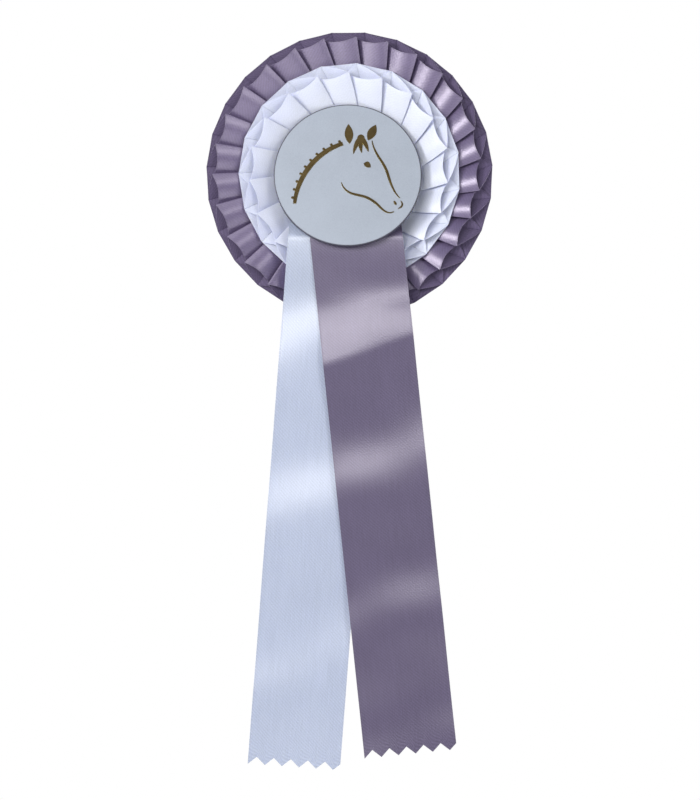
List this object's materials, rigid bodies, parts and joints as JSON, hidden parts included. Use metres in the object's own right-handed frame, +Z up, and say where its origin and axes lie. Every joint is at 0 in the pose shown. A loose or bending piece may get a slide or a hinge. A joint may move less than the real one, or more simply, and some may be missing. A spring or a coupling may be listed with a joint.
{
  "type": "award ribbon",
  "caption": "Show rosette: pleated satin ribbon tiers round a card disc with a raised foil horse's head, pinked satin tails that lift, and a brooch pin on the back.",
  "frame": {"origin": "the middle of the brooch needle, on the rosette's vertical centre line, behind the card and 14 mm above the rosette's centre", "axes": "+Z up as the ribbon hangs, +Y out of the back towards the wearer, so the face looks along -Y"},
  "size_m": [0.1545, 0.0306, 0.4007],
  "materials": {
    "mauve_satin": "satin ribbon, soft lengthwise sheen",
    "white_satin": "satin ribbon, soft lengthwise sheen",
    "silver_card": "matte silver printed card",
    "gold_foil": "hot-stamped gold foil",
    "backing_card": "smooth white board",
    "core_card": "grey recycled board",
    "foam": "closed-cell foam",
    "staple_wire": "galvanised wire",
    "plated_steel": "nickel plated",
    "needle_steel": "drawn steel wire"
  },
  "bodies": {
    "root": {"backing_card": "backing_card", "core_card": "core_card", "raiser_card": "core_card", "mauve_tier": "mauve_satin", "white_tier": "white_satin", "mauve_tier_staples": "staple_wire", "white_tier_staples": "staple_wire", "tail_staples": "staple_wire", "white_tail_root": "white_satin", "mauve_tail_root": "mauve_satin", "foam_pad": "foam", "centre_disc": "silver_card", "horse_emblem": "gold_foil", "pin_bar": "plated_steel", "pin_bar_rivets": "plated_steel", "pin_hinge_rivet": "plated_steel"},
    "needle": {"pin_needle": "needle_steel"},
    "white_tail": {"white_tail": "white_satin", "mauve_tail_neck": "mauve_satin"},
    "mauve_tail": {"mauve_tail": "mauve_satin"}
  },
  "joints": [
    {"name": "pin_hinge", "type": "hinge", "parent": "root", "child": "needle", "pos_m": [-0.014, 0, 0], "axis": [0, 0, 1], "range_deg": [0, 90]},
    {"name": "white_tail_lift", "type": "hinge", "parent": "root", "child": "white_tail", "pos_m": [0, -0.0221, -0.058], "axis": [-1, 0, 0], "range_deg": [0, 75]},
    {"name": "mauve_tail_lift", "type": "hinge", "parent": "white_tail", "child": "mauve_tail", "pos_m": [0, -0.0228, -0.066], "axis": [-1, 0, 0], "range_deg": [0, 75]}
  ]
}
